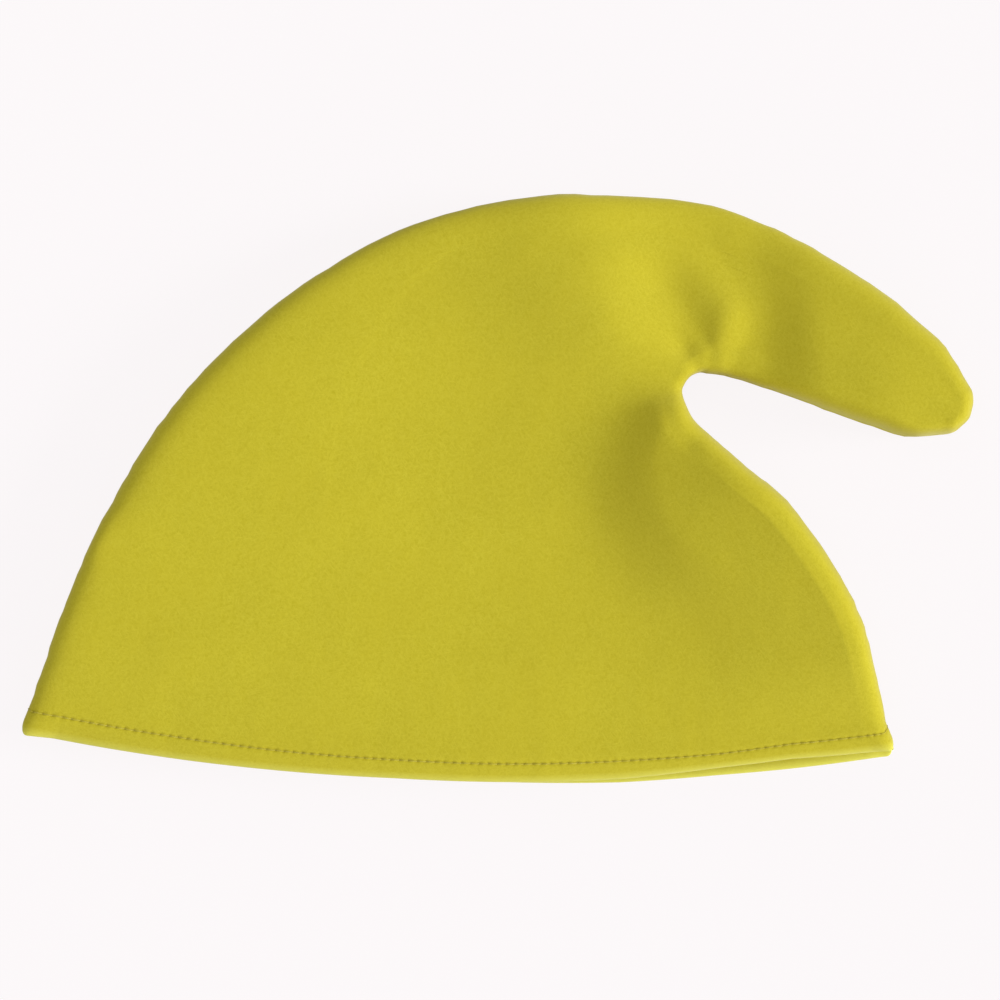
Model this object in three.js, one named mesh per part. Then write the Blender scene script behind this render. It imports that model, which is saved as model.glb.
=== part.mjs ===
// A gnome hat of thick felt, lying on its side as it does when nobody wears it.
// Two panels are cut to one outline, whose top curls over into a horn. They are
// sewn together round the outline, turned right side out, and hemmed at the
// mouth. The hat is hollow from the mouth to the tip of the horn.
// Millimetres, +Z up. The under panel lies on z = 0, the mouth faces -Y and the
// horn points to +X. The origin is under the middle of the hat.

import * as THREE from "three";

// The outline, laid flat
const HEM_WIDTH = 300; // across the mouth, from side seam to side seam
const CROWN_RISE = 188; // from the corners of the hem to the top of the crown
const HEM_BOW = 12.6; // how far the hem bellies out below its corners
const NOTCH_OUT = 234.2; // from the back corner of the hem across to the middle of the notch
const NOTCH_DROP = 68.1; // from the top of the crown down to the middle of the notch
const NOTCH_RADIUS = 7.3; // of the round end of the notch, under the horn
const HORN_LENGTH = 89.2; // from the notch to the tip
const HORN_DIP = 18.4; // degrees that the horn hangs below level
const TIP_RADIUS = 10.9;

// The felt and how it is sewn
const FELT = 1.8; // thickness
const SEAM_ALLOWANCE = 6.5; // felt turned in at the side seam, from the outline to the cut edge
const SEAM_BEND = 2.4; // outer radius of the bend into the seam
const SEAM_GAP = 0.3; // between the two panels where they face each other in the seam
const HEM_TURN = 9; // depth of the felt turned up inside the mouth
const HEM_STEP = 0.4; // run of the cut edge of the turning
const HEM_SQUARE = 0.12; // share of the way to the tip by which the seams leave the hem's line

// How it lies
const PUFF = 30; // height of the fullest part of the upper panel
const SEAM_RISE = 10; // height of the side seam above the floor
const ROLL = 14; // width of the rolled edge, in from the outline
const ROLL_FRONT = 0.75; // the roll is that much tighter along the front seam
const ROLL_SQUARE = 0.56; // power that squares up the profile of the rolled edge
const HEM_DROOP = 2.2; // how far the edge of the upper hem hangs below its stitching
const FOLD_LIFT = 8; // height of a full fold
const FOLD_REACH = 66; // how far the folds run out from the middle of the notch

// How finely it is cut into faces
const RIBS_PER_ROW = 2;
const UPPER_COLUMNS = 16;
const UNDER_COLUMNS = 8;
const ROLL_STEPS = 3;
const BEND_STEPS = 2;

// The ribs run across the hat from the back seam to the front seam. From the hem
// to the notch both ends are shares of HEM_WIDTH across and CROWN_RISE up.
const BODY_RIBS = [
  { backX: 0.006, backY: 0.067, frontX: 0.99, frontY: 0.036 },
  { backX: 0.028, backY: 0.165, frontX: 0.978, frontY: 0.124 },
  { backX: 0.053, backY: 0.275, frontX: 0.96, frontY: 0.229 },
  { backX: 0.084, backY: 0.385, frontX: 0.926, frontY: 0.33 },
  { backX: 0.132, backY: 0.523, frontX: 0.874, frontY: 0.441 },
  { backX: 0.18, backY: 0.632, frontX: 0.828, frontY: 0.503 },
  { backX: 0.242, backY: 0.735, frontX: 0.79, frontY: 0.557 },
  { backX: 0.319, backY: 0.834, frontX: 0.766, frontY: 0.595 },
];

// Round the notch the front end turns on the notch's arc, in degrees from +X.
const NOTCH_RIBS = [
  { backX: 0.4, backY: 0.912, turn: 185 },
  { backX: 0.478, backY: 0.962, turn: 156 },
  { backX: 0.565, backY: 0.993, turn: 127 },
  { backX: 0.651, backY: 1, turn: 99 },
  { backX: 0.726, backY: 0.995, turn: 90 - HORN_DIP },
];

// On the horn both ends are shares of HORN_LENGTH along it, from the notch, and
// of its width at the root across it, from its underside.
const HORN_RIBS = [
  { overAlong: -0.177, overAcross: 0.902, underAlong: 0.078, underAcross: 0.019 },
  { overAlong: 0.004, overAcross: 0.897, underAlong: 0.2, underAcross: 0.022 },
  { overAlong: 0.194, overAcross: 0.86, underAlong: 0.34, underAcross: 0.022 },
  { overAlong: 0.376, overAcross: 0.8, underAlong: 0.473, underAcross: 0.015 },
  { overAlong: 0.543, overAcross: 0.733, underAlong: 0.59, underAcross: 0.006 },
  { overAlong: 0.698, overAcross: 0.645, underAlong: 0.7, underAcross: 0.006 },
  { overAlong: 0.822, overAcross: 0.563, underAlong: 0.802, underAcross: 0.014 },
];
const TIP_ACROSS = 0.253; // middle of the tip's arc, as a share of the root's width
const TIP_HALF_TURN = 50; // degrees of the tip's arc on each side of the horn's line

// How high the hat stands along the way from the mouth (0) to the tip (1). The
// back, middle and front of the upper panel are shares of PUFF, the seams of
// SEAM_RISE, the rolled edge of ROLL and the bow of HEM_BOW.
const SECTIONS = [
  { at: 0, back: 0.58, middle: 0.62, front: 0.64, seam: 0.85, roll: 1, bow: 1 },
  { at: 0.08, back: 0.71, middle: 0.64, front: 0.82, seam: 1, roll: 1, bow: 0.8 },
  { at: 0.22, back: 0.8, middle: 0.66, front: 0.87, seam: 1.05, roll: 1.1, bow: 0.4 },
  { at: 0.34, back: 0.81, middle: 0.69, front: 0.82, seam: 1.15, roll: 1.05, bow: 0.2 },
  { at: 0.47, back: 0.8, middle: 0.79, front: 0.8, seam: 1.25, roll: 1, bow: 0 },
  { at: 0.54, back: 0.77, middle: 0.76, front: 0.74, seam: 1.3, roll: 1, bow: 0 },
  { at: 0.6, back: 0.72, middle: 0.7, front: 0.7, seam: 1.2, roll: 1, bow: 0 },
  { at: 0.7, back: 0.76, middle: 0.77, front: 0.76, seam: 1.1, roll: 0.98, bow: 0 },
  { at: 0.89, back: 0.85, middle: 0.88, front: 0.87, seam: 1, roll: 0.8, bow: 0 },
  { at: 1, back: 0.76, middle: 0.77, front: 0.76, seam: 0.95, roll: 0.42, bow: 0 },
];
const MIDDLE = 0.56; // share of the way across from the back where the middle's height is reached
const CLIMB = 0.66; // and from where the panel climbs to the front's height

// Folds of the upper panel that run out from the notch. Each starts at a bearing
// in degrees and drifts by some more over FOLD_REACH. Its half width in degrees is
// given on its clockwise side (cw) and on the other (ccw). It rises from start to
// full and fades from hold to end, in shares of FOLD_REACH. Its lift is a share of
// FOLD_LIFT, below zero for a valley.
const NOTCH_FOLDS = [
  { bearing: 201, drift: 88, cw: 34, ccw: 100, start: 0.04, full: 0.34, hold: 1.2, end: 2.4, lift: 0.68 },
  { bearing: 300, drift: 0, cw: 60, ccw: 50, start: 0.08, full: 0.3, hold: 0.6, end: 1.3, lift: 0.26 },
  { bearing: 162, drift: -28, cw: 22, ccw: 44, start: 0.12, full: 0.72, hold: 0.78, end: 1.62, lift: 0.4 },
  { bearing: 109, drift: 0, cw: 18, ccw: 15, start: 0.22, full: 0.36, hold: 0.55, end: 0.9, lift: -0.26 },
  { bearing: 76, drift: 0, cw: 11, ccw: 9, start: 0.22, full: 0.36, hold: 0.4, end: 0.56, lift: 0.12 },
  { bearing: 4, drift: 106, cw: 34, ccw: 20, start: 0.15, full: 0.4, hold: 0.8, end: 1.2, lift: -0.34 },
];

// How much longer than HEM_TURN each panel's hem runs, along the way across from
// the back. The under panel's hem shows past the upper one towards the front.
const HEM_LENGTHS = [
  { across: 0, upper: 1.7, under: 1.7 },
  { across: 0.1, upper: 1.2, under: 1.2 },
  { across: 0.27, upper: 0.5, under: 0.5 },
  { across: 0.42, upper: 0, under: 0 },
  { across: 0.56, upper: 0.6, under: 0.8 },
  { across: 0.7, upper: 0.8, under: 2.2 },
  { across: 0.82, upper: -0.5, under: 2.5 },
  { across: 0.91, upper: -0.9, under: 3 },
  { across: 1, upper: 0.9, under: 3.4 },
];

// The hem from the end of its turning to its round edge: the distance of each row
// from the edge, and how far its two skins have closed together.
const HEM_ROWS = [
  { fromEdge: HEM_TURN, closed: 0 },
  { fromEdge: HEM_TURN / 2, closed: 0 },
  { fromEdge: FELT, closed: 0 },
  { fromEdge: FELT * 0.3, closed: 0.3 },
  { fromEdge: 0, closed: 0.75 },
];

const rad = THREE.MathUtils.degToRad;
const lerp = THREE.MathUtils.lerp;
const clamp = THREE.MathUtils.clamp;
const smooth = (share) => THREE.MathUtils.smoothstep(share, 0, 1);
const vec = (x, y) => new THREE.Vector2(x, y);

const ROOT_WIDTH = NOTCH_DROP - NOTCH_RADIUS;
const NOTCH = vec(NOTCH_OUT, CROWN_RISE - NOTCH_DROP);

// A point at an angle on a circle, in the plane that the hat lies in.
function onCircle(centre, radius, degrees) {
  return vec(centre.x + radius * Math.cos(rad(degrees)), centre.y + radius * Math.sin(rad(degrees)));
}

// A point in the horn's own directions, from where its underside leaves the notch.
function onHorn(along, across) {
  const root = onCircle(NOTCH, NOTCH_RADIUS, 90 - HORN_DIP);
  return vec(along, across).rotateAround(vec(0, 0), -rad(HORN_DIP)).add(root);
}

const TIP = onHorn(HORN_LENGTH - TIP_RADIUS, TIP_ACROSS * ROOT_WIDTH);
const tipPoint = (share) =>
  onCircle(TIP, TIP_RADIUS, -HORN_DIP + lerp(TIP_HALF_TURN, -TIP_HALF_TURN, share));

// Both ends of every row of the rib tables, from the mouth to the tip.
function ribEnds() {
  const body = (x, y) => vec(x * HEM_WIDTH, y * CROWN_RISE);
  const horn = (along, across) => onHorn(along * HORN_LENGTH, across * ROOT_WIDTH);
  return [
    ...BODY_RIBS.map((r) => ({ back: body(r.backX, r.backY), front: body(r.frontX, r.frontY) })),
    ...NOTCH_RIBS.map((r) => ({
      back: body(r.backX, r.backY),
      front: onCircle(NOTCH, NOTCH_RADIUS, r.turn),
    })),
    ...HORN_RIBS.map((r) => ({
      back: horn(r.overAlong, r.overAcross),
      front: horn(r.underAlong, r.underAcross),
    })),
    { back: tipPoint(0), front: tipPoint(1) },
  ];
}

// One column of SECTIONS at a share of the way from the mouth to the tip.
function section(column, share) {
  const next = Math.max(1, SECTIONS.findIndex((s) => s.at >= share));
  const [from, to] = [SECTIONS[next - 1], SECTIONS[next]];
  return lerp(from[column], to[column], smooth((share - from.at) / (to.at - from.at)));
}

// How much longer than HEM_TURN the hem of a panel is, a share of the way across.
function hemExtra(panel, across) {
  const next = Math.max(1, HEM_LENGTHS.findIndex((h) => h.across >= across));
  const [from, to] = [HEM_LENGTHS[next - 1], HEM_LENGTHS[next]];
  return lerp(from[panel], to[panel], (across - from.across) / (to.across - from.across));
}

// How far the folds lift the upper panel over a point.
function foldLift(point) {
  const out = point.clone().sub(NOTCH);
  const bearing = THREE.MathUtils.radToDeg(out.angle());
  const reach = out.length() / FOLD_REACH;
  let lift = 0;
  for (const fold of NOTCH_FOLDS) {
    const off = THREE.MathUtils.euclideanModulo(bearing - fold.bearing - fold.drift * reach + 180, 360) - 180;
    const across = Math.exp(-((off / (off < 0 ? fold.cw : fold.ccw)) ** 2));
    const rise = smooth((reach - fold.start) / (fold.full - fold.start));
    const fade = smooth((reach - fold.hold) / (fold.end - fold.hold));
    lift += fold.lift * across * rise * (1 - fade);
  }
  return lift * FOLD_LIFT;
}

// A point at a share of the way across a rib that bellies out towards the mouth.
function bowedRib(back, front, bow, t) {
  const across = front.clone().sub(back);
  const down = vec(across.y, -across.x).normalize();
  return back.clone().addScaledVector(across, t).addScaledVector(down, bow * 4 * t * (1 - t));
}

// The outline as one run of stations: up the back seam from the mouth, round the
// tip, and down the front seam to the mouth. Each has its place, the direction
// into the hat, and its share of the way from the mouth to the tip.
function outline(columns) {
  const ends = ribEnds();
  const ribs = (ends.length - 1) * RIBS_PER_ROW;
  const last = 2 * ribs + columns;
  const backSeam = new THREE.SplineCurve(ends.map((r) => r.back));
  const frontSeam = new THREE.SplineCurve(ends.map((r) => r.front));
  const stations = [];
  for (let k = 0; k <= last; k++) {
    const share = Math.min(k, last - k, ribs) / ribs;
    const tighter = lerp(1, ROLL_FRONT, smooth((k / last - 0.45) / 0.1));
    const roll = ROLL * section("roll", share) * tighter;
    if (share === 1) {
      const place = tipPoint((k - ribs) / columns);
      stations.push({ place, share, roll, inward: TIP.clone().sub(place).normalize() });
      continue;
    }
    const [seam, side] = k < ribs ? [backSeam, 1] : [frontSeam, -1];
    const place = seam.getPoint(share);
    const along = seam.getTangent(share).multiplyScalar(side);
    const onHem = bowedRib(backSeam.getPoint(share), frontSeam.getPoint(share), HEM_BOW, 0.5 - side * 0.4);
    const hemward = onHem.sub(place).normalize();
    const inward = vec(along.y, -along.x).lerp(hemward, 1 - smooth(share / HEM_SQUARE)).normalize();
    stations.push({ place, share, roll, inward });
  }
  return { ribs, stations };
}

// The felt of one panel as a sheet of points and quads, before it has a
// thickness. `height` gives the panel's height inside the rolled edge and
// `seamHeight` that of its face in the seam. Upper is 1 for the upper panel and
// -1 for the under one.
function panelSheet({ columns, upper, height, seamHeight, droop }) {
  const { ribs, stations } = outline(columns);
  const points = []; // { at, layers, closed }
  const quads = [];
  const add = (at, layers = 1, closed = 0) => points.push({ at, layers, closed }) - 1;
  const quad = (a, b, c, d) => quads.push(upper > 0 ? [a, b, c, d] : [d, c, b, a]);
  const at3 = (place, z) => new THREE.Vector3(place.x, place.y, z);
  const last = stations.length - 1;

  // Inside the rolled edge: ribs across, each with its columns.
  const ringPlace = (k) => stations[k].place.clone().addScaledVector(stations[k].inward, stations[k].roll);
  const grid = [];
  for (let i = 0; i <= ribs; i++) {
    const bow = HEM_BOW * section("bow", i / ribs);
    grid.push([]);
    for (let j = 0; j <= columns; j++) {
      const t = j / columns;
      const place = i < ribs ? bowedRib(ringPlace(i), ringPlace(last - i), bow, t) : ringPlace(ribs + j);
      grid[i].push(add(at3(place, height(place, i / ribs, t))));
    }
  }

  // The rolled edge, the bend into the seam and the seam allowance, round the outline.
  const strips = stations.map((station, k) => {
    const ring = grid[clamp(Math.min(k, last - k), 0, ribs)][clamp(k - ribs, 0, columns)];
    const bendHeight = seamHeight(station.share) + upper * SEAM_BEND;
    const strip = [ring];
    for (let s = 1; s <= ROLL_STEPS; s++) {
      const angle = (1 - s / ROLL_STEPS) * (Math.PI / 2);
      const inset = station.roll * (1 - Math.cos(angle) ** ROLL_SQUARE);
      const z = lerp(bendHeight, points[ring].at.z, Math.sin(angle) ** ROLL_SQUARE);
      strip.push(add(at3(station.place.clone().addScaledVector(station.inward, inset), z)));
    }
    for (let s = 1; s <= BEND_STEPS; s++) {
      const angle = (s / BEND_STEPS) * (Math.PI / 2);
      const inset = SEAM_BEND * (1 - Math.cos(angle));
      const z = bendHeight - upper * SEAM_BEND * Math.sin(angle);
      strip.push(add(at3(station.place.clone().addScaledVector(station.inward, inset), z)));
    }
    const edge = station.place.clone().addScaledVector(station.inward, SEAM_ALLOWANCE);
    strip.push(add(at3(edge, seamHeight(station.share))));
    return strip;
  });

  for (let i = 0; i < ribs; i++) {
    for (let j = 0; j < columns; j++) {
      quad(grid[i][j], grid[i][j + 1], grid[i + 1][j + 1], grid[i + 1][j]);
    }
  }
  for (let k = 0; k < last; k++) {
    for (let s = 0; s + 1 < strips[k].length; s++) {
      quad(strips[k][s], strips[k + 1][s], strips[k + 1][s + 1], strips[k][s + 1]);
    }
  }

  // The hem: the cloth runs on past the first rib, doubled by its turning, to a
  // round edge. Down the rolled edge at both ends the turning thins out.
  const acrossAll = (i) => [...strips[i].slice(1).reverse(), ...grid[i], ...strips[last - i].slice(1)];
  const mouth = acrossAll(0);
  const behind = acrossAll(1);
  const folded = strips[0].length - 1;
  let before = mouth;
  for (const row of HEM_ROWS) {
    const made = mouth.map((p, m) => {
      const here = points[p].at;
      const way = here.clone().sub(points[behind[m]].at).setZ(0).normalize();
      const cover = clamp(1 - Math.max(folded - m, m - folded - columns, 0) / ROLL_STEPS, 0, 1);
      const t = clamp((m - folded) / columns, 0, 1);
      const stretch = 1 + hemExtra(upper > 0 ? "upper" : "under", t) / HEM_TURN;
      const reach = HEM_STEP + (HEM_TURN - row.fromEdge) * stretch;
      const sag = droop * cover * (reach / HEM_TURN) ** 2;
      return add(here.clone().addScaledVector(way, reach).setZ(here.z - sag), 1 + cover, row.closed);
    });
    for (let m = 0; m + 1 < made.length; m++) quad(made[m], made[m + 1], before[m + 1], before[m]);
    before = made;
  }
  return { points, quads };
}

// A closed solid from a sheet: an outer and an inner skin a felt's thickness
// apart, and a rim along the sheet's edges. Where the sheet is folded double it
// is two layers thick, and it closes to a round nose at the hem's edge.
function thicken({ points, quads }) {
  const normals = points.map(() => new THREE.Vector3());
  for (const [a, b, c, d] of quads) {
    const across = points[c].at.clone().sub(points[a].at);
    const face = across.cross(points[d].at.clone().sub(points[b].at));
    for (const p of [a, b, c, d]) normals[p].add(face.normalize());
  }
  const count = points.length;
  const positions = [];
  const skins = [(depth, shut) => shut, (depth, shut) => depth - shut];
  for (const skin of skins) {
    points.forEach(({ at, layers, closed }, p) => {
      const depth = FELT * layers;
      const inwards = skin(depth, (closed * depth) / 2);
      positions.push(...at.clone().addScaledVector(normals[p].clone().normalize(), -inwards));
    });
  }
  const triangles = [];
  const side = (a, b, c, d) => triangles.push(a, b, c, a, c, d);
  const sides = new Map();
  for (const [a, b, c, d] of quads) {
    side(a, b, c, d);
    side(d + count, c + count, b + count, a + count);
    for (const [from, to] of [[a, b], [b, c], [c, d], [d, a]]) {
      if (!sides.delete(`${to} ${from}`)) sides.set(`${from} ${to}`, [from, to]);
    }
  }
  for (const [from, to] of sides.values()) side(to, from, from + count, to + count);
  const geometry = new THREE.BufferGeometry();
  geometry.setAttribute("position", new THREE.Float32BufferAttribute(positions, 3));
  geometry.setIndex(triangles);
  geometry.computeVertexNormals();
  return geometry;
}

function felt() {
  return new THREE.MeshStandardMaterial({ color: 0xc4b828, roughness: 0.95, metalness: 0 });
}

// The panel that faces up: puffed, rolled down to the seam, and folded at the notch.
function upperPanel() {
  const height = (place, share, t) => {
    const [back, middle, front] = ["back", "middle", "front"].map((c) => PUFF * section(c, share));
    const climb = clamp((t - CLIMB) / (1 - CLIMB), 0, 1);
    const rise = (front - middle) * climb ** 2 * (1.7 - 0.7 * climb);
    return lerp(back, middle, smooth(t / MIDDLE)) + rise + foldLift(place);
  };
  const seamHeight = (share) => SEAM_RISE * section("seam", share) + SEAM_GAP / 2;
  const sheet = panelSheet({ columns: UPPER_COLUMNS, upper: 1, height, seamHeight, droop: HEM_DROOP });
  const mesh = new THREE.Mesh(thicken(sheet), felt());
  mesh.name = "upper_panel";
  return mesh;
}

// The panel that lies flat on the floor and rolls up to the seam all round.
function underPanel() {
  const seamHeight = (share) => SEAM_RISE * section("seam", share) - SEAM_GAP / 2;
  const sheet = panelSheet({ columns: UNDER_COLUMNS, upper: -1, height: () => 0, seamHeight, droop: 0 });
  const mesh = new THREE.Mesh(thicken(sheet), felt());
  mesh.name = "under_panel";
  return mesh;
}

const hat = new THREE.Group();
hat.add(upperPanel(), underPanel());
const middle = new THREE.Box3().setFromObject(hat).getCenter(new THREE.Vector3());
hat.position.set(-middle.x, -middle.y, 0);

export default hat;
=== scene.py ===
"""The looks of a gnome hat of thick felt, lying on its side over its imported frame.

Two felt panels replace the plain solids. They are cut to the same tables as the
solids are, with many more faces, and with what sewn felt has besides: puckers at
the notch, a pressed topstitch along the doubled hem, a seam that wanders a
little, and a nap. No cloth simulation is used: each panel is laid rib by rib,
from the mouth to the tip of the horn, and shaped by the functions below.
Lengths are millimetres until a mesh is made, and +Z is up.
"""

import math

import bpy
import numpy as np
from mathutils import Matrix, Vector


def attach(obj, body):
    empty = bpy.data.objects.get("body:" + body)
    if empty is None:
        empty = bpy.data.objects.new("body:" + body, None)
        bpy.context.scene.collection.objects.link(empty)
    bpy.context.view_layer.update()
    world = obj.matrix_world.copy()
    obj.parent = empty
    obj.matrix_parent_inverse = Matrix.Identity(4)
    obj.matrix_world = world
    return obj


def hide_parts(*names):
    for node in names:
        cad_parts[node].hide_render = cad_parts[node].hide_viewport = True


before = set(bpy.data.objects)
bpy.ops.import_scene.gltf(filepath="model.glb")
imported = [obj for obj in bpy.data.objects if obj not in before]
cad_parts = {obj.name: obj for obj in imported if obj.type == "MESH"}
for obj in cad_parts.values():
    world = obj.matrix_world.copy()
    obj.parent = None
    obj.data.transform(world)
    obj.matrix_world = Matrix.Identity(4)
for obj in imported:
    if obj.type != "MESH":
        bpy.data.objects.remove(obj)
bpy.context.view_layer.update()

MM = 0.001


def table(names, *rows):
    """Rows of numbers as one array for each named column."""
    return dict(zip(names.split(), np.array(rows, float).T))


# The outline, laid flat, from the back corner of the hem
HEM_CORNER = np.array([-162.5448, -86.2631])  # where that corner is in the frame
HEM_WIDTH = 300
CROWN_RISE = 188
HEM_BOW = 12.6
NOTCH_OUT = 234.2
NOTCH_DROP = 68.1
NOTCH_RADIUS = 7.3
HORN_LENGTH = 89.2
HORN_DIP = 18.4
TIP_RADIUS = 10.9

# The felt and how it is sewn
FELT = 1.8
SEAM_ALLOWANCE = 6.5
SEAM_BEND = 2.4
SEAM_GAP = 0.3
HEM_TURN = 9
HEM_STEP = 0.4
HEM_SQUARE = 0.12  # share of the way from the mouth where the edges square up to the hem
HEM_AIM = 0.4  # how far from the hem's middle they then point, as a share of its length
HEM_NOSE = 3.2  # how far back from its edge the doubled hem starts to round off
HEM_CORNER_RADIUS = 3.6
HEM_FLARE = 0.26  # how much the hem's front corner spreads out, as a slope
HEM_FLARE_FROM = 0.93  # where that starts, along the way across from the back

# How it lies
PUFF = 30
SEAM_RISE = 10
ROLL = 14
ROLL_HEIGHT = 8  # about how high the roll climbs, to space its rows evenly
ROLL_SIDES = (0.92, 0.62)  # shares of the roll's width along the back seam and the front seam
FRONT_START = 0.2  # where the one turns to the other, as a share of the way round the outline
FRONT_SPAN = 0.6
ROLL_NOTCH = 0.45  # how much narrower the roll gets round the notch
NOTCH_AT = 0.5  # where the notch lies, along the way from the mouth to the tip
NOTCH_SPREAD = 0.09
ROLL_SQUARE = (0.54, 0.60)  # powers that square up the roll's profile, on the body and the horn
HORN_EASE = 0.2  # share of the way past the notch over which the one turns to the other
TIP_GATHER = 0.08  # share of the way before the tip over which the edges turn to its middle
NIP_AT = 0.145  # where the back edge is nipped flat, along the way from the mouth to the tip
NIP_SPREAD = 0.022
NIP = 0.5
HEM_DROOP = 2.2
FOLD_LIFT = 8
FOLD_REACH = 66
UNDER_CLEARANCE = 0.06  # between the under side and the floor
NEAR_HEM = 0.05  # share of the way from the mouth that the topstitch holds

# Uneven places in soft felt: the size of the bumps, the seed and their height
SOFT_BUMPS = ((34, 12, 0.18), (13, 13, 0.05), (4, 14, 0.018))
HEM_RIPPLES = ((5, 11, 0.03),)
UNDER_BUMPS = ((6, 21, 0.05),)
SEAM_WANDER = ((3, 31, 0.10), (17, 32, 0.12))

# Ribs from the back seam to the front seam, as shares of HEM_WIDTH and CROWN_RISE
BODY_RIBS = table(
    "back_x back_y front_x front_y",
    (0.006, 0.067, 0.990, 0.036),
    (0.028, 0.165, 0.978, 0.124),
    (0.053, 0.275, 0.960, 0.229),
    (0.084, 0.385, 0.926, 0.330),
    (0.132, 0.523, 0.874, 0.441),
    (0.180, 0.632, 0.828, 0.503),
    (0.242, 0.735, 0.790, 0.557),
    (0.319, 0.834, 0.766, 0.595),
)
# Round the notch, the front end turns on its arc, in degrees from +X
NOTCH_RIBS = table(
    "back_x back_y turn",
    (0.400, 0.912, 185),
    (0.478, 0.962, 156),
    (0.565, 0.993, 127),
    (0.651, 1.000, 99),
    (0.726, 0.995, 90 - HORN_DIP),
)
# On the horn, as shares of its length from the notch and of its width at the root
HORN_RIBS = table(
    "over_along over_across under_along under_across",
    (-0.177, 0.902, 0.078, 0.019),
    (0.004, 0.897, 0.200, 0.022),
    (0.194, 0.860, 0.340, 0.022),
    (0.376, 0.800, 0.473, 0.015),
    (0.543, 0.733, 0.590, 0.006),
    (0.698, 0.645, 0.700, 0.006),
    (0.822, 0.563, 0.802, 0.014),
)
TIP_ACROSS = 0.253
TIP_TURN = (50, -66)  # degrees from the horn's own direction, over and under

# Heights along the way from the mouth (0) to the tip (1): back, middle and front
# are shares of PUFF, seam of SEAM_RISE, roll of ROLL and bow of HEM_BOW
SECTIONS = table(
    "at back middle front seam roll bow",
    (0.00, 0.58, 0.62, 0.71, 0.85, 1.00, 1.0),
    (0.08, 0.71, 0.64, 0.92, 1.00, 1.00, 0.8),
    (0.22, 0.80, 0.66, 0.99, 1.05, 1.10, 0.4),
    (0.34, 0.81, 0.69, 0.85, 1.15, 1.05, 0.2),
    (0.47, 0.79, 0.79, 0.77, 1.25, 1.00, 0.0),
    (0.54, 0.78, 0.76, 0.74, 1.30, 1.00, 0.0),
    (0.60, 0.75, 0.70, 0.70, 1.20, 1.00, 0.0),
    (0.70, 0.76, 0.77, 0.76, 1.10, 0.98, 0.0),
    (0.785, 0.83, 0.85, 0.84, 1.05, 0.90, 0.0),
    (0.89, 0.85, 0.87, 0.86, 1.00, 0.80, 0.0),
    (1.00, 0.82, 0.83, 0.82, 0.95, 0.60, 0.0),
)
MIDDLE = 0.56  # share of the way across from the back where the middle's height is reached
CLIMB = 0.66  # and from where the panel climbs to the front's height

# Folds of the upper panel that run out from the notch. Each starts at a bearing in
# degrees and drifts by some more over FOLD_REACH. Its half width in degrees is
# given on its clockwise side (cw) and on the other (ccw). It rises from start to
# full and fades from hold to end, in shares of FOLD_REACH. Its lift is a share of
# FOLD_LIFT, below zero for a valley.
FOLDS = table(
    "bearing drift cw ccw start full hold end lift",
    (197, 88, 30, 100, 0.04, 0.32, 1.20, 2.40, 0.62),
    (186, 60, 15, 34, 0.08, 0.19, 0.24, 0.46, 0.09),
    (300, 0, 60, 50, 0.08, 0.30, 0.60, 1.30, 0.26),
    (162, -28, 22, 44, 0.12, 0.72, 0.78, 1.62, 0.40),
    (113, 0, 18, 15, 0.13, 0.28, 0.55, 0.90, -0.27),
    (76, 0, 11, 9, 0.16, 0.30, 0.40, 0.56, 0.12),
    (4, 106, 34, 20, 0.15, 0.40, 0.80, 1.20, -0.34),
    (254, 0, 11, 9, 0.08, 0.16, 0.23, 0.36, -0.14),
    (52, 0, 9, 9, 0.10, 0.20, 0.28, 0.40, -0.11),
)

# How much longer than HEM_TURN each panel's hem runs, and how far from its edge the
# topstitch lies, along the way across from the back. The under panel's hem shows
# past the upper one towards the front.
HEM_LENGTHS = table(
    "across upper under stitch",
    (0.00, 2.2, 2.2, 9.7),
    (0.10, 1.8, 1.8, 9.0),
    (0.27, 1.1, 1.1, 8.0),
    (0.42, 0.6, 0.6, 7.4),
    (0.56, 1.1, 1.3, 7.3),
    (0.70, 1.1, 2.5, 7.2),
    (0.82, -0.4, 2.6, 5.6),
    (0.91, -0.7, 3.3, 5.9),
    (1.00, 1.2, 3.9, 6.8),
)
STITCH_COLUMNS = 3  # columns of the upper panel in one stitch
GROOVE_WIDTH = 1.6  # of the trough that the thread has pressed in the felt
GROOVE_DEPTH = 0.09
NEEDLE_DEPTH = 0.6  # of the dimple where the needle went in
THREAD = 0.36  # diameter of the sewing thread

# How finely the panels are laid
STITCHES = 90  # along the straight part of the hem
UPPER_COLUMNS = STITCHES * STITCH_COLUMNS
UNDER_COLUMNS = STITCHES * 2
UPPER_RIB_GAP = 3.2
UNDER_RIB_GAP = 4.5
ROLL_STEPS = 15
BEND_STEPS = 4

UP = np.array([0.0, 0.0, 1.0])


def lerp(a, b, t):
    return a + (b - a) * t


def smooth(t):
    """Eases from 0 to 1 while t goes from 0 to 1."""
    t = np.clip(t, 0, 1)
    return t * t * (3 - 2 * t)


def unit(vectors):
    return vectors / np.linalg.norm(vectors, axis=-1, keepdims=True)


def relief(place, size, seed, waves=40):
    """A smooth random field of about unit height, with bumps about size millimetres across."""
    draws = np.random.default_rng(seed)
    total = np.zeros(place.shape[:-1])
    for _ in range(waves):
        turn, phase = draws.uniform(0, 2 * math.pi, 2)
        length = size * draws.uniform(1.4, 3.0)
        along = place[..., 0] * math.cos(turn) + place[..., 1] * math.sin(turn)
        total += np.sin(along * 2 * math.pi / length + phase)
    return total * math.sqrt(2 / waves)


def bumps(place, rows):
    """Layers of relief, each with its size, seed and height."""
    return sum(relief(place, size, seed) * height for size, seed, height in rows)


# The outline
ROOT_WIDTH = NOTCH_DROP - NOTCH_RADIUS
NOTCH = np.array([NOTCH_OUT, CROWN_RISE - NOTCH_DROP])


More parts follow.
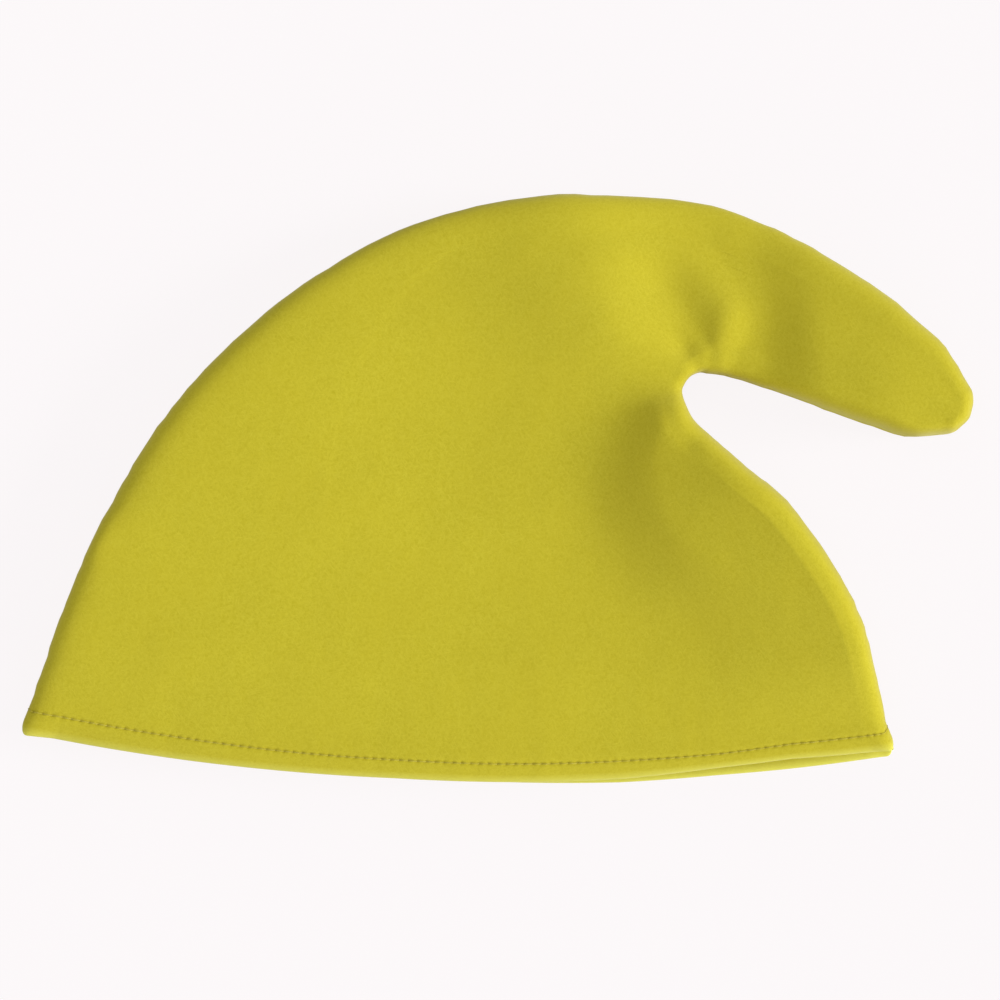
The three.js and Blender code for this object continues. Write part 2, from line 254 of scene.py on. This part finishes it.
def on_circle(centre, radius, degrees):
    turn = np.radians(degrees)
    return centre + radius * np.stack([np.cos(turn), np.sin(turn)], axis=-1)


def on_horn(along, across):
    """Points in the horn's own directions, from where its underside leaves the notch."""
    dip = math.radians(HORN_DIP)
    out = np.array([math.cos(dip), -math.sin(dip)])
    over = np.array([math.sin(dip), math.cos(dip)])
    root = on_circle(NOTCH, NOTCH_RADIUS, 90 - HORN_DIP)
    return root + np.multiply.outer(along, out) + np.multiply.outer(across, over)


TIP = on_horn(HORN_LENGTH - TIP_RADIUS, TIP_ACROSS * ROOT_WIDTH)


def tip_point(share):
    return on_circle(TIP, TIP_RADIUS, -HORN_DIP + lerp(*TIP_TURN, share))


def rib_ends():
    """The back and the front ends of every row of the rib tables, from the mouth to the tip."""
    def body(ribs, side):
        return np.stack([ribs[side + "_x"] * HEM_WIDTH, ribs[side + "_y"] * CROWN_RISE], axis=-1)

    def horn(side):
        along, across = HORN_RIBS[side + "_along"], HORN_RIBS[side + "_across"]
        return on_horn(along * HORN_LENGTH, across * ROOT_WIDTH)

    back = [body(BODY_RIBS, "back"), body(NOTCH_RIBS, "back"), horn("over"), [tip_point(0)]]
    round_notch = on_circle(NOTCH, NOTCH_RADIUS, NOTCH_RIBS["turn"])
    front = [body(BODY_RIBS, "front"), round_notch, horn("under"), [tip_point(1)]]
    return np.concatenate(back), np.concatenate(front)


BACK_SEAM, FRONT_SEAM = rib_ends()


def along_seam(seam, share):
    """Points on a smooth line through a seam's ends of the ribs, and its direction there."""
    last = len(seam) - 1
    at = np.clip(share, 0, 1) * last
    k = np.minimum(at.astype(int), last - 1)
    t = (at - k)[:, None]
    before, here, there, after = (seam[np.clip(k + step, 0, last)] for step in (-1, 0, 1, 2))
    leaving = (there - before) / 2
    arriving = (after - here) / 2
    cubic = 2 * here - 2 * there + leaving + arriving
    square = -3 * here + 3 * there - 2 * leaving - arriving
    place = cubic * t**3 + square * t**2 + leaving * t + here
    return place, unit(3 * cubic * t**2 + 2 * square * t + leaving)


def section(column, share):
    """One column of SECTIONS at shares of the way from the mouth to the tip."""
    at = SECTIONS["at"]
    k = np.clip(np.searchsorted(at, share), 1, len(at) - 1)
    t = smooth((share - at[k - 1]) / (at[k] - at[k - 1]))
    return lerp(SECTIONS[column][k - 1], SECTIONS[column][k], t)


def rib_shares(gap):
    """Shares of the way from the mouth to the tip for ribs that lie about that far apart."""
    fine = np.linspace(0, 1, 600)
    back, front = along_seam(BACK_SEAM, fine)[0], along_seam(FRONT_SEAM, fine)[0]
    lines = (back, (back + front) / 2, front)
    steps = sum(np.linalg.norm(np.diff(line, axis=0), axis=1) for line in lines) / len(lines)
    way = np.concatenate([[0], np.cumsum(steps)])
    return np.interp(np.linspace(0, way[-1], round(way[-1] / gap) + 1), way, fine)


def bowed_rib(back, front, bow, t):
    """Points at shares of the way across a rib that bellies out towards the mouth."""
    across = front - back
    down = unit(np.stack([across[..., 1], -across[..., 0]], axis=-1))
    return back + across * t + down * bow * 4 * t * (1 - t)


def outline(shares, columns):
    """Stations up the back seam, round the tip and down the front: place, direction inward, share."""
    places, inwards = [], []
    for seam, side in ((BACK_SEAM, 1), (FRONT_SEAM, -1)):
        place, way = along_seam(seam, shares)
        inward = side * np.stack([way[:, 1], -way[:, 0]], axis=-1)
        back, front = along_seam(BACK_SEAM, shares)[0], along_seam(FRONT_SEAM, shares)[0]
        hemward = unit(bowed_rib(back, front, HEM_BOW, 0.5 - side * HEM_AIM) - place)
        inward = lerp(inward, hemward, 1 - smooth(shares / HEM_SQUARE)[:, None])
        gather = smooth((shares - (1 - TIP_GATHER)) / TIP_GATHER)
        inward = lerp(inward, unit(TIP - place), gather[:, None])
        places.append(place)
        inwards.append(unit(inward))
    tip = tip_point(np.linspace(0, 1, columns + 1))
    place = np.concatenate([places[0][:-1], tip, places[1][-2::-1]])
    inward = np.concatenate([inwards[0][:-1], unit(TIP - tip), inwards[1][-2::-1]])
    share = np.concatenate([shares[:-1], np.ones(columns + 1), shares[-2::-1]])
    return place, inward, share


# The sheets of felt
class Sheet:
    """Felt as points and quads, before it has a thickness."""

    def __init__(self, upper):
        self.upper = upper
        self.points = np.zeros((0, 3))
        self.traits = np.zeros((0, 3))  # layers, closed, pressed
        self.quads = []

    def add(self, points, layers=1.0, closed=0.0, pressed=0.0):
        """Adds an array of points, and returns an array of their numbers."""
        shape = points.shape[:-1]
        traits = np.stack([np.broadcast_to(v, shape) for v in (layers, closed, pressed)], axis=-1)
        first = len(self.points)
        self.points = np.concatenate([self.points, points.reshape(-1, 3)])
        self.traits = np.concatenate([self.traits, traits.reshape(-1, 3)])
        return np.arange(first, len(self.points)).reshape(shape)

    def weave(self, rows):
        """Quads between neighbouring rows of a rectangular array of point numbers."""
        corners = (rows[:-1, :-1], rows[:-1, 1:], rows[1:, 1:], rows[1:, :-1])
        quads = np.stack([c.reshape(-1) for c in corners], axis=-1)
        self.quads.append(quads if self.upper > 0 else quads[:, ::-1])

    def thicken(self):
        """A closed shell: two skins a felt's thickness apart, and a rim along the sheet's edges."""
        quads = np.concatenate(self.quads)
        corners = self.points[quads]
        faces = unit(np.cross(corners[:, 2] - corners[:, 0], corners[:, 3] - corners[:, 1]))
        normals = np.zeros_like(self.points)
        for corner in range(4):
            np.add.at(normals, quads[:, corner], faces)
        self.normals = unit(normals)
        layers, closed, pressed = self.traits.T[:, :, None]
        depth = FELT * layers
        shut = closed * depth / 2
        outer = self.points - self.normals * (shut + pressed)
        inner = self.points - self.normals * (depth - shut - pressed * (layers > 1.5))
        count = len(self.points)
        sides = quads[:, [0, 1, 1, 2, 2, 3, 3, 0]].reshape(-1, 2)
        key = np.sort(sides, axis=1) @ np.array([count, 1])
        _, first, uses = np.unique(key, return_index=True, return_counts=True)
        a, b = sides[first[uses == 1]].T
        rim = np.stack([b, a, a + count, b + count], axis=-1)
        return np.concatenate([outer, inner]), np.concatenate([quads, quads[:, ::-1] + count, rim])


def fold_lift(place):
    """How far the folds lift the upper panel over some places."""
    out = place - NOTCH
    reach = np.linalg.norm(out, axis=-1) / FOLD_REACH
    bearing = np.degrees(np.arctan2(out[..., 1], out[..., 0]))
    total = 0
    for toward, drift, cw, ccw, start, full, hold, end, lift in zip(*FOLDS.values()):
        off = (bearing - toward - drift * reach + 180) % 360 - 180
        across = np.exp(-((off / np.where(off < 0, cw, ccw)) ** 2))
        along = smooth((reach - start) / (full - start)) * (1 - smooth((reach - hold) / (end - hold)))
        total = total + lift * across * along
    return total * FOLD_LIFT


def upper_height(place, share, t):
    """Height of the puffed side inside its rolled edge."""
    back, middle, front = (PUFF * section(c, share) for c in ("back", "middle", "front"))
    climb = np.clip((t - CLIMB) / (1 - CLIMB), 0, 1)
    steepening = climb**2 * (1.2 - 0.2 * climb)
    level = lerp(back, middle, smooth(t / MIDDLE)) + (front - middle) * steepening
    ripples = bumps(place * (1, 0.25), HEM_RIPPLES) * np.exp(-share / NEAR_HEM)
    soft = bumps(place, SOFT_BUMPS) * smooth(share / NEAR_HEM + 0.35)
    return level + fold_lift(place) + ripples + soft


def under_height(place, share, t):
    """The side that lies on the floor: flat, but for its nap."""
    return UNDER_CLEARANCE + np.abs(bumps(place, UNDER_BUMPS))


def seam_height(share, upper):
    return SEAM_RISE * section("seam", share) + upper * SEAM_GAP / 2


def even_turns(steps, wide, tall):
    """Angles from 90 to 0 degrees, evenly spaced along the squared quarter of an ellipse."""
    fine = np.linspace(math.pi / 2, 0, 400)
    across, up = wide * np.cos(fine) ** ROLL_SQUARE[0], tall * np.sin(fine) ** ROLL_SQUARE[0]
    run = np.hypot(np.diff(across), np.diff(up))
    way = np.concatenate([[0], np.cumsum(run)])
    return np.interp(np.linspace(0, way[-1], steps + 1)[1:], way, fine)


def hem_line(column, across):
    return np.interp(across, HEM_LENGTHS["across"], HEM_LENGTHS[column])


def hem_rows(stitch):
    """Rows of the hem from the cut edge of its turning to the round nose: distance from the edge,
    how far the two skins have closed there, and the share of the groove's depth."""
    half = GROOVE_WIDTH / 2
    rows = [(lerp(stitch + half, HEM_TURN, u), 0, 0) for u in (1, 0.5)]
    trough = ((1, 0.1), (0.5, 0.6), (0, 1), (-0.5, 0.6), (-1, 0.1))
    rows += [(stitch + half * off, 0, groove) for off, groove in trough]
    rows += [(lerp(HEM_NOSE, stitch - half, u), 0, 0) for u in (0.75, 0.5, 0.25, 0)]
    turns = np.radians((14, 28, 42, 54, 66, 76, 85))
    return rows + [(HEM_NOSE * (1 - math.sin(a)), 1 - math.cos(a), 0) for a in turns]


def lay_panel(upper, columns, stitch_columns, rib_gap, height, droop):
    """The sheet of one panel, and the numbers of its points along the topstitch."""
    sheet = Sheet(upper)
    shares = rib_shares(rib_gap)
    ribs = len(shares) - 1
    place, inward, share = outline(shares, columns)
    last = len(place) - 1
    frontward = smooth((np.arange(last + 1) / last - FRONT_START) / FRONT_SPAN)
    nip = NIP * np.exp(-(((share - NIP_AT) / NIP_SPREAD) ** 2)) * (1 - frontward)
    tuck = ROLL_NOTCH * np.exp(-(((share - NOTCH_AT) / NOTCH_SPREAD) ** 2)) * frontward
    roll = ROLL * section("roll", share) * lerp(*ROLL_SIDES, frontward) * (1 - nip) * (1 - tuck)
    place = place + inward * bumps(place, SEAM_WANDER)[:, None]

    # Inside the rolled edge: ribs across, each with its columns
    ring = place + inward * roll[:, None]
    t = np.linspace(0, 1, columns + 1)
    bow = (HEM_BOW * section("bow", shares))[:, None, None]
    back, front = ring[: ribs + 1], ring[last - np.arange(ribs + 1)]
    across = bowed_rib(back[:, None], front[:, None], bow, t[None, :, None])
    across[ribs] = ring[ribs : ribs + columns + 1]
    level = height(across, shares[:, None], t[None, :])
    level = np.broadcast_to(level, across.shape[:-1])
    grid = sheet.add(np.concatenate([across, level[..., None]], axis=-1))
    sheet.weave(grid)

    # The rolled edge, the bend into the seam, and the seam allowance, round the outline
    stations = np.arange(last + 1)
    nearest = np.clip(np.minimum(stations, last - stations), 0, ribs)
    rings = grid[nearest, np.clip(stations - ribs, 0, columns)]
    top = sheet.points[rings, 2]
    seam = seam_height(share, upper)
    bend = seam + upper * SEAM_BEND
    strips = [rings]
    square = lerp(*ROLL_SQUARE, smooth((share - NOTCH_AT) / HORN_EASE))
    insets = []
    for a in even_turns(ROLL_STEPS, ROLL, ROLL_HEIGHT):
        insets.append((roll * (1 - math.cos(a) ** square), lerp(bend, top, math.sin(a) ** square)))
    for a in np.linspace(0, math.pi / 2, BEND_STEPS + 1)[1:]:
        insets.append((SEAM_BEND * (1 - math.cos(a)), bend - upper * SEAM_BEND * math.sin(a)))
    insets.append((SEAM_ALLOWANCE, seam))
    for inset, z in insets:
        at = place + inward * np.broadcast_to(inset, roll.shape)[:, None]
        strips.append(sheet.add(np.concatenate([at, z[:, None]], axis=-1)))
    strips = np.stack(strips, axis=-1)
    sheet.weave(strips.T)

    # The hem: the felt runs on past the first rib, doubled by its turning, to a round edge
    def whole_row(i):
        return np.concatenate([strips[i, :0:-1], grid[i], strips[last - i, 1:]])

    mouth, behind = whole_row(0), whole_row(1)
    folded = strips.shape[1] - 1
    here = sheet.points[mouth]
    way = here - sheet.points[behind]
    way[:, 2] = 0
    way = unit(way)
    m = np.arange(len(mouth))
    frontal = np.stack([-way[:, 1], way[:, 0], way[:, 2]], axis=-1)
    outside = np.maximum(np.maximum(folded - m, m - folded - columns), 0)
    cover = np.clip(1 - outside / ROLL_STEPS, 0, 1)
    t = np.clip((m - folded) / columns, 0, 1)
    flare = frontal * (HEM_FLARE * smooth((t - HEM_FLARE_FROM) / (1 - HEM_FLARE_FROM)))[:, None]
    stretch = 1 + hem_line("upper" if upper > 0 else "under", t) / HEM_TURN
    from_corner = np.minimum(*(np.linalg.norm(here[:, :2] - place[end], axis=1) for end in (0, last)))
    from_corner = np.where(outside > ROLL_STEPS + 1, 0, from_corner)  # the seam allowance ends inside
    short = HEM_CORNER_RADIUS - np.clip(from_corner, 0, HEM_CORNER_RADIUS)
    stretch = stretch - (HEM_CORNER_RADIUS - np.sqrt(HEM_CORNER_RADIUS**2 - short**2)) / HEM_TURN
    hole = (m - folded) % stitch_columns == 0
    press = np.where(hole, NEEDLE_DEPTH, GROOVE_DEPTH) * (outside <= ROLL_STEPS)
    stitch = np.minimum(hem_line("stitch", t) / stretch, HEM_TURN - GROOVE_WIDTH)
    rows = [mouth]
    seam_row = None
    for from_edge, closed, groove in hem_rows(stitch):
        reach = HEM_STEP + (HEM_TURN - from_edge) * stretch
        sag = droop * cover * (reach / HEM_TURN) ** 2
        at = here + (way + flare) * reach[:, None] - UP * sag[:, None]
        rows.append(sheet.add(at, layers=1 + cover, closed=closed, pressed=press * groove))
        if groove == 1:
            seam_row = rows[-1]
    sheet.weave(np.stack(rows[::-1]))
    seen = slice(folded - ROLL_STEPS, folded + columns + ROLL_STEPS + 1)
    return sheet, seam_row[seen]


def linear(hex_colour):
    """An sRGB hex colour as the linear numbers that a shader takes."""
    parts = [int(hex_colour[i : i + 2], 16) / 255 for i in (1, 3, 5)]
    return (*(c / 12.92 if c <= 0.04045 else ((c + 0.055) / 1.055) ** 2.4 for c in parts), 1)


def add_node(tree, kind, values=(), links=(), **settings):
    """Adds a node with its settings, its input values and the sockets that feed it."""
    node = tree.nodes.new(kind)
    for name, value in settings.items():
        setattr(node, name, value)
    for key, value in dict(values).items():
        node.inputs[key].default_value = value
    for key, source in dict(links).items():
        tree.links.new(source, node.inputs[key])
    return node


def new_material(name):
    material = bpy.data.materials.new(name)
    material.use_nodes = True
    material.node_tree.nodes.clear()
    return material, material.node_tree


def needled_felt():
    """Needle-punched polyester felt: matt, with a short tangled nap that catches light in specks a
    millimetre or two wide, and a soft bloom where the surface turns away. Painted shade darkens the
    felt in the needle dimples and the groove of the topstitch, and a painted highlight lightens the
    round nose of the hem."""
    material, tree = new_material("needled_felt")
    place = add_node(tree, "ShaderNodeTexCoord").outputs["Object"]

    def noise(size, detail, rough, stretch=1, turn=0):
        """Noise whose lumps are that many millimetres across, drawn out along one direction."""
        spin = {"Rotation": (0, 0, math.radians(turn)), "Scale": (stretch, 1, 1)}
        mapping = add_node(tree, "ShaderNodeMapping", spin, {"Vector": place}, vector_type="TEXTURE")
        vector = mapping.outputs["Vector"]
        values = {"Scale": 1 / (size * MM), "Detail": detail, "Roughness": rough}
        return add_node(tree, "ShaderNodeTexNoise", values, {"Vector": vector}).outputs["Fac"]

    def mix_colour(factor, a, b, blend="MIX"):
        node = add_node(tree, "ShaderNodeMix", data_type="RGBA", blend_type=blend)
        sockets = (node.inputs["Factor"], node.inputs[6], node.inputs[7])
        for socket, value in zip(sockets, (factor, a, b)):
            if isinstance(value, bpy.types.NodeSocket):
                tree.links.new(value, socket)
            else:
                socket.default_value = value
        return node.outputs[2]

    def spread(value, low, high):
        ranges = {"From Min": low, "From Max": high}
        return add_node(tree, "ShaderNodeMapRange", ranges, {"Value": value}).outputs["Result"]

    # A real fibre is about 0.02 mm thick. These are drawn 0.4 mm wide, so that they show.
    nap = noise(1.1, 3, 0.6)
    fibres = [noise(0.4, 2, 0.5, 5, turn) for turn in (12, 71, 128)]
    tangle = fibres[0]
    for other in fibres[1:]:
        higher = add_node(tree, "ShaderNodeMath", links={0: tangle, 1: other}, operation="MAXIMUM")
        tangle = higher.outputs[0]
    cloud = noise(26, 2, 0.5)
    shade = mix_colour(spread(nap, 0.32, 0.68), linear("#B7AA18"), linear("#C3B725"))
    shade = mix_colour(spread(tangle, 0.5, 0.75), shade, linear("#C9BE30"))
    shade = mix_colour(spread(cloud, 0.2, 1.9), shade, linear("#C6B621"))
    # Painted shade: darker in the needle dimples and the groove of the topstitch, where shadow falls
    pressed = add_node(tree, "ShaderNodeAttribute", attribute_name="pressed").outputs["Fac"]
    shade = mix_colour(pressed, shade, linear("#AA9C1B"))
    # Painted highlight: paler along the round nose of the doubled hem, where light catches it
    hem_nose_highlight = add_node(tree, "ShaderNodeAttribute", attribute_name="hem_nose_highlight").outputs["Fac"]
    shade = mix_colour(hem_nose_highlight, shade, linear("#E4E05C"))
    coarse = add_node(tree, "ShaderNodeBump", {"Strength": 0.3, "Distance": 0.2 * MM}, {"Height": nap})
    fine = add_node(
        tree, "ShaderNodeBump", {"Strength": 0.3, "Distance": 0.15 * MM},
        {"Height": tangle, "Normal": coarse.outputs[0]},
    )
    values = {
        "Roughness": 0.93, "IOR": 1.5, "Specular IOR Level": 0.25,
        "Sheen Weight": 0.45, "Sheen Roughness": 0.5, "Sheen Tint": linear("#F6F1BE"),
    }
    surface = add_node(
        tree, "ShaderNodeBsdfPrincipled", values, {"Base Color": shade, "Normal": fine.outputs[0]}
    )
    add_node(tree, "ShaderNodeOutputMaterial", links={"Surface": surface.outputs[0]})
    return material


def spun_polyester():
    """Spun polyester sewing thread in the felt's own yellow, a little darker and glossier."""
    material, tree = new_material("spun_polyester_thread")
    place = add_node(tree, "ShaderNodeTexCoord").outputs["Object"]
    # The plies of a real thread are about 0.15 mm wide, and are drawn 0.35 mm wide here
    ply = {"Scale": 1 / (0.35 * MM), "Detail": 2}
    plies = add_node(tree, "ShaderNodeTexNoise", ply, {"Vector": place}).outputs["Fac"]
    ramp = add_node(tree, "ShaderNodeValToRGB", links={"Fac": plies})
    ramp.color_ramp.elements[0].color = linear("#B0A328")
    ramp.color_ramp.elements[1].color = linear("#C9BD3B")
    bump = add_node(
        tree, "ShaderNodeBump", {"Strength": 0.4, "Distance": 0.08 * MM}, {"Height": plies}
    )
    links = {"Base Color": ramp.outputs["Color"], "Normal": bump.outputs[0]}
    values = {"Roughness": 0.75, "Specular IOR Level": 0.2, "Sheen Weight": 0.2}
    surface = add_node(tree, "ShaderNodeBsdfPrincipled", values, links)
    add_node(tree, "ShaderNodeOutputMaterial", links={"Surface": surface.outputs[0]})
    return material


def new_piece(name, points, faces, material):
    """A smooth mesh object, from millimetres at the hem's corner to metres in the frame."""
    mesh = bpy.data.meshes.new(name)
    points = points + [*HEM_CORNER, 0]
    mesh.from_pydata((points * MM).tolist(), [], faces.tolist())
    mesh.polygons.foreach_set("use_smooth", np.ones(len(mesh.polygons), bool))
    mesh.materials.append(material)
    piece = bpy.data.objects.new(name, mesh)
    bpy.context.scene.collection.objects.link(piece)
    return piece


def felt_piece(name, sheet, material):
    points, faces = sheet.thicken()
    piece = new_piece(name, points, faces, material)
    # Mask for the painted shade in the needle dimples and the groove of the topstitch
    pressed = (sheet.traits[:, 2] / NEEDLE_DEPTH) ** 2
    # Mask for the painted highlight on the round nose of the hem
    hem_nose_highlight = np.sqrt(sheet.traits[:, 1])
    for label, values in (("pressed", pressed), ("hem_nose_highlight", hem_nose_highlight)):
        mark = piece.data.attributes.new(label, "FLOAT", "POINT")
        mark.data.foreach_set("value", np.tile(values, 2).astype(np.float32))
    return piece


def tube(path, radii, sides=8):
    """Points and quads of a closed tube along a path."""
    way = unit(np.gradient(path, axis=0))
    side = unit(np.cross(way, UP))
    lift = np.cross(side, way)
    turn = np.linspace(0, 2 * math.pi, sides, endpoint=False)[:, None, None]
    ring = path + radii[:, None] * (np.cos(turn) * side + np.sin(turn) * lift)
    points = ring.transpose(1, 0, 2).reshape(-1, 3)
    count = len(path)
    faces = []
    for i in range(count - 1):
        for s in range(sides):
            n = (s + 1) % sides
            faces.append((i * sides + s, i * sides + n, (i + 1) * sides + n, (i + 1) * sides + s))
    return points, faces


def topstitch(name, sheet, row, stitch_columns, material):
    """A run of machine stitches, each bedded in the groove from one needle hole to the next."""
    at, normal = sheet.points[row], sheet.normals[row]
    index = np.arange(len(row))
    hops = np.array([0.0, 0.06, 0.2, 0.5, 0.8, 0.94, 1.0])
    rise = np.array([-0.62, -0.25, -0.04, 0.0, -0.04, -0.25, -0.62]) - GROOVE_DEPTH + 0.25 * THREAD
    swell = np.array([0.45, 0.85, 1.0, 1.08, 1.0, 0.85, 0.45]) * THREAD / 2
    points, faces = [], []
    for start in range(0, len(row) - stitch_columns, stitch_columns):
        where = start + hops * stitch_columns
        middle = np.stack([np.interp(where, index, at[:, a]) for a in range(3)], axis=-1)
        out = unit(np.stack([np.interp(where, index, normal[:, a]) for a in range(3)], axis=-1))
        ring, quads = tube(middle + out * rise[:, None], swell)
        faces += [tuple(len(points) + v for v in quad) for quad in quads]
        points += ring.tolist()
    return new_piece(name, np.array(points), np.array(faces), material)


felt = needled_felt()
thread = spun_polyester()

under_sheet, under_row = lay_panel(
    -1, UNDER_COLUMNS, 2, UNDER_RIB_GAP, under_height, droop=0
)
upper_sheet, upper_row = lay_panel(
    1, UPPER_COLUMNS, STITCH_COLUMNS, UPPER_RIB_GAP, upper_height, droop=HEM_DROOP
)
under_panel = felt_piece("under_panel_felt", under_sheet, felt)
upper_panel = felt_piece("upper_panel_felt", upper_sheet, felt)
under_stitches = topstitch("under_topstitch", under_sheet, under_row, 2, thread)
upper_stitches = topstitch("upper_topstitch", upper_sheet, upper_row, STITCH_COLUMNS, thread)

for piece in (under_panel, upper_panel, under_stitches, upper_stitches):
    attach(piece, "root")
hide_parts("under_panel")
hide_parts("upper_panel")


# The floor and backdrop, the light and the camera
WHITE = "#FBF7F8"


def studio_sweep():
    """A wide pale floor that curves up into a backdrop far behind. Its sizes are metres."""
    radius, corner, wall, sides = 6.0, 1.5, 3.0, 96
    profile = [(0.02, 0.0), (radius * 0.3, 0.0), (radius * 0.6, 0.0), (radius, 0.0)]
    turns = np.radians(np.arange(10, 91, 10))
    profile += [(radius + corner * math.sin(a), corner * (1 - math.cos(a))) for a in turns]
    profile.append((radius + corner, corner + wall))
    turn = np.linspace(0, 2 * math.pi, sides, endpoint=False)
    points = [(r * math.cos(a), r * math.sin(a), z) for r, z in profile for a in turn]
    faces = [tuple(range(sides))]
    for i in range(len(profile) - 1):
        for s in range(sides):
            n = (s + 1) % sides
            faces.append((i * sides + s, (i + 1) * sides + s, (i + 1) * sides + n, i * sides + n))
    mesh = bpy.data.meshes.new("floor")
    mesh.from_pydata(points, [], faces)
    floor = bpy.data.objects.new("floor", mesh)
    bpy.context.scene.collection.objects.link(floor)
    material, tree = new_material("pale_paper")
    values = {
        "Base Color": (0.06, 0.06, 0.06, 1), "Roughness": 1.0, "Specular IOR Level": 0.0,
        "Emission Color": linear(WHITE), "Emission Strength": 0.95,
    }
    surface = add_node(tree, "ShaderNodeBsdfPrincipled", values)
    add_node(tree, "ShaderNodeOutputMaterial", links={"Surface": surface.outputs[0]})
    mesh.materials.append(material)
    floor.visible_diffuse = False
    floor.visible_glossy = False
    floor.visible_shadow = False
    return floor


def far_light(name, bearing, rise, spread, strength, colour="#FFFFFF"):
    """A soft light from far off, with its bearing from +X, its rise above the floor and its width
    in degrees."""
    data = bpy.data.lights.new(name, "SUN")
    data.angle = math.radians(spread)
    data.energy = strength
    data.color = linear(colour)[:3]
    light = bpy.data.objects.new(name, data)
    turn, lift = math.radians(bearing), math.radians(rise)
    toward = Vector((math.cos(turn) * math.cos(lift), math.sin(turn) * math.cos(lift), math.sin(lift)))
    light.rotation_euler = (-toward).to_track_quat("-Z", "Y").to_euler()
    light.location = toward * 2
    bpy.context.scene.collection.objects.link(light)


floor = studio_sweep()

far_light("key", bearing=1, rise=22, spread=20, strength=2.7)
far_light("front", bearing=-72, rise=12, spread=30, strength=0.9)
far_light("top", bearing=150, rise=83, spread=40, strength=0.47)

world = bpy.data.worlds.new("soft_room")
bpy.context.scene.world = world
world.use_nodes = True
world.node_tree.nodes["Background"].inputs["Color"].default_value = linear("#F4F4F6")
world.node_tree.nodes["Background"].inputs["Strength"].default_value = 0.5

VIEW_WIDTH = 345.62  # millimetres across the picture, at the height of the side seam
VIEW_CENTRE = (1.47, -3.27, 12)
LENS = 125
camera_data = bpy.data.cameras.new("overhead")
camera_data.lens = LENS
camera_data.sensor_width = 36
camera = bpy.data.objects.new("overhead", camera_data)
distance = VIEW_WIDTH * LENS / camera_data.sensor_width
camera.location = Vector((VIEW_CENTRE[0], VIEW_CENTRE[1], VIEW_CENTRE[2] + distance)) * MM
bpy.context.scene.collection.objects.link(camera)
bpy.context.scene.camera = camera
bpy.context.scene.view_settings.view_transform = "Standard"
